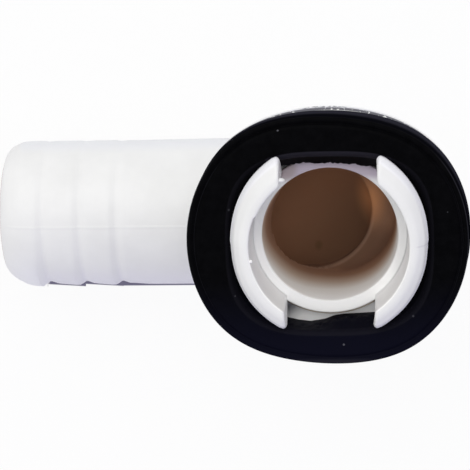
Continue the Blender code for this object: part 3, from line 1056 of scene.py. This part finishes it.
def rubber():
    """Black rubber with a fine grain, painted highlights and sheen, painted shade on its sides, and
    a few pale dust specks.
    """
    material = bpy.data.materials.new("black_rubber_dressed")
    g = Graph(material)
    place = g.place()
    x, y, z = g.split(place)
    upward = g.normal()[2]
    far_out = g.above(g.radius(x, y), 14.5)
    ends = g.span(g.maths("ABSOLUTE", y), 9.0, 15.0)
    grain = g.noise(place, *RUBBER_GRAIN)
    black = g.ramp(grain, BLACK_GRAIN)
    # Painted sheen: the front a little lighter and bluer
    black = g.tint(g.span(y, -4.0, -15.0), black, FRONT_SHEEN_BLACK)

    # Mouth: inside it painted a little lighter, as painted light, and a painted highlight on its
    # rounded edge, stronger where the slots leave it open
    mouth = g.oval(x, g.minus(y, SEAL_MOUTH_CENTRE[1]), SEAL_MOUTH, SEAL_MOUTH_POWER)
    in_slot = g.product(g.above(y, 8.0), g.below(g.maths("ABSOLUTE", x), 8.0))
    lit = g.maths("MULTIPLY_ADD", in_slot, 0.75, 0.25)
    near_edge = g.product(g.share(mouth, 1.0, 0.96), g.maths("GREATER_THAN", mouth, 0.80))
    black = g.tint(g.product(g.share(mouth, 1.0, 0.94), 0.25), black, THROAT_LIT_BLACK)
    black = g.tint(g.product(near_edge, lit, g.above(z, SEAL_TOP_Z - 0.8)), black, MOUTH_HIGHLIGHT_GREY)

    # Painted highlights on the bead at the front and on the rounded upper edge, painted shade on
    # the sides, where the rubber also reflects less, and a painted sheen on the back of the side
    # wall
    outer = g.oval(x, y, SEAL_CROWN[0], 6)
    bead = g.product(g.share(outer, 0.74, 0.9), g.below(y, 0.0), ends, 0.8)
    black = g.tint(bead, black, BEAD_HIGHLIGHT_GREY)
    rounded = g.product(g.share(upward, 0.2, 0.4), g.share(upward, 0.8, 0.62), far_out)
    rounded = g.product(rounded, g.span(y, 12.0, 8.0), g.span(y, -11.0, -7.0), 0.9)
    black = g.tint(rounded, black, EDGE_HIGHLIGHT_GREY)
    side = g.product(g.share(upward, 0.6, 0.2), far_out)
    back = g.product(side, g.span(y, 0.0, 10.0), g.span(z, 27.8, 25.8), g.above(z, 24.35))
    black = g.tint(side, black, SIDE_SHADE_BLACK)
    black = g.tint(back, black, BACK_SHEEN_GREY)

    specks = g.add("ShaderNodeTexVoronoi", {"Vector": place, "Scale": SPECK_SCALE})
    close = g.maths("LESS_THAN", specks.outputs["Distance"], SPECK_SIZE)
    picked = g.maths("GREATER_THAN", g.split(specks.outputs["Color"])[0], 0.5)
    dust = g.product(close, picked, g.maths("MULTIPLY_ADD", ends, 0.2, 0.12))
    g.feed(g.shader.inputs["Base Color"], g.tint(dust, black, DUST_GREY))
    g.feed(g.shader.inputs["Roughness"], g.maths("MULTIPLY_ADD", grain, 0.2, 0.4))
    g.feed(g.shader.inputs["Specular IOR Level"], g.maths("MULTIPLY_ADD", side, -0.02, 0.02))
    g.bump(grain, 0.35, 0.03)
    return material


def at_joint(vertex):
    """Whether a vertex lies on the softened joint of the cup and the tail."""
    x, y, z = vertex.co / MM
    off_cup, off_tail = math.hypot(x, y), math.hypot(y, z - TAIL_AXIS_Z)
    outside = off_cup > JOINT_CUP_RADIUS and off_tail > JOINT_TAIL_RADIUS
    at_height = JOINT_MARGIN < z < FLANGE_BOTTOM_Z - JOINT_MARGIN
    return outside and at_height and JOINT_X[0] < x < JOINT_X[1]


def smooth_joint(mesh):
    """Shade the softened joint smoothly, along the line where the Boolean met it too."""
    builder = bmesh.new()
    builder.from_mesh(mesh)
    for edge in builder.edges:
        if at_joint(edge.verts[0]) and at_joint(edge.verts[1]):
            edge.smooth = True
    builder.to_mesh(mesh)
    builder.free()


def dress(piece, node, material):
    """Put a finished piece in place of its CAD node."""
    piece.data.materials.clear()
    piece.data.materials.append(material)
    piece.data.shade_smooth()
    piece.data.set_sharp_from_angle(angle=math.radians(SHARP_DEGREES))
    smooth_joint(piece.data)
    modifier = piece.modifiers.new("normals", "WEIGHTED_NORMAL")
    modifier.keep_sharp = True
    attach(piece, "root")
    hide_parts(node)


def tail_shade(g):
    """Share of the shade under the tail: a thin dark line, scalloped by the barbs, and softer."""
    x, y, _ = g.split(g.place())
    teeth = g.maths("FRACT", g.maths("DIVIDE", g.minus(x, SCALLOP_START_X), SCALLOP_PITCH * MM))
    teeth = g.tint(g.above(x, SCALLOP_END_X), teeth, (SCALLOP_END_SHARE,) * 3)
    edge = g.maths("MULTIPLY_ADD", teeth, SCALLOP_DEPTH * MM, y)
    soft = g.product(g.span(y, *SHADE_SOFT_Y), SHADE_SOFT)
    darkness = g.maths("MULTIPLY_ADD", g.span(y, *SHADE_DARK_Y), SHADE_DARK, soft)
    along = g.product(g.span(x, *SHADE_START_X), g.span(x, *SHADE_END_X))
    return g.product(along, g.span(edge, *SHADE_EDGE_Y), darkness)


def pale_stage():
    """Pale floor that is nearly white to the camera and has the shade under the tail."""
    half = FLOOR_HALF
    mesh = bpy.data.meshes.new("floor")
    around = [(-half, -half, 0), (half, -half, 0), (half, half, 0), (-half, half, 0)]
    mesh.from_pydata(around, [], [(0, 1, 2, 3)])
    floor = shown("floor", mesh)
    material = bpy.data.materials.new("pale_floor")
    g = Graph(material)
    g.shader.inputs["Base Color"].default_value = FLOOR_COLOUR
    g.shader.inputs["Roughness"].default_value = FLOOR_ROUGHNESS
    colour = g.tint(tail_shade(g), (1, 1, 1, 1), SHADE_COLOUR)
    glow = g.add("ShaderNodeEmission", {"Color": colour})
    seen = g.add("ShaderNodeLightPath").outputs["Is Camera Ray"]
    surface = g.mixed(g.product(seen, FLOOR_WHITENESS), g.shader.outputs[0], glow.outputs[0])
    g.feed(g.tree.nodes["Material Output"].inputs["Surface"], surface)
    mesh.materials.append(material)


def key_lamp():
    """Soft square lamp behind and above the part, turned towards it."""
    data = bpy.data.lights.new("key", "AREA")
    data.size = KEY_SIZE
    data.energy = KEY_POWER
    data.color = KEY_COLOUR
    lamp = shown("key", data)
    lamp.location = KEY_AT
    lamp.rotation_euler = Vector(KEY_AT).to_track_quat("Z", "Y").to_euler()


def surroundings():
    """World that is white to the camera and lights the part softly, least from DIM_SIDE."""
    world = bpy.data.worlds.new("world")
    bpy.context.scene.world = world
    g = Graph(world, "Background")
    direction = g.add("ShaderNodeTexCoord").outputs["Generated"]
    facing = g.add("ShaderNodeVectorMath", {0: direction, 1: DIM_SIDE}, operation="DOT_PRODUCT")
    g.feed(g.shader.inputs["Color"], g.ramp(facing.outputs["Value"], WORLD_SHADES))
    g.shader.inputs["Strength"].default_value = WORLD_STRENGTH
    white = g.add("ShaderNodeBackground", {"Color": (1, 1, 1, 1)})
    seen = g.add("ShaderNodeLightPath").outputs["Is Camera Ray"]
    surface = g.mixed(seen, g.shader.outputs[0], white.outputs[0])
    g.feed(g.tree.nodes["World Output"].inputs["Surface"], surface)


def camera():
    """The photograph's camera."""
    data = bpy.data.cameras.new("camera")
    data.sensor_width = SENSOR_WIDTH
    data.lens = FOCAL_PIXELS / FRAME_PIXELS * SENSOR_WIDTH
    data.clip_start = 0.01
    data.clip_end = 10
    eye = shown("camera", data)
    turn = Matrix.Identity(4)
    for angle, axis in zip(CAMERA_TURN, "XYZ"):
        turn = turn @ Matrix.Rotation(math.radians(angle), 4, axis)
    eye.matrix_world = Matrix.Translation(CAMERA_AT) @ turn
    bpy.context.scene.camera = eye


def build():
    """Make the scene."""
    camera()
    dress(elbow(), "elbow_body", plastic())
    dress(seal(), "rubber_seal", rubber())
    pale_stage()
    key_lamp()
    surroundings()
    bpy.context.scene.view_settings.view_transform = "Standard"


build()
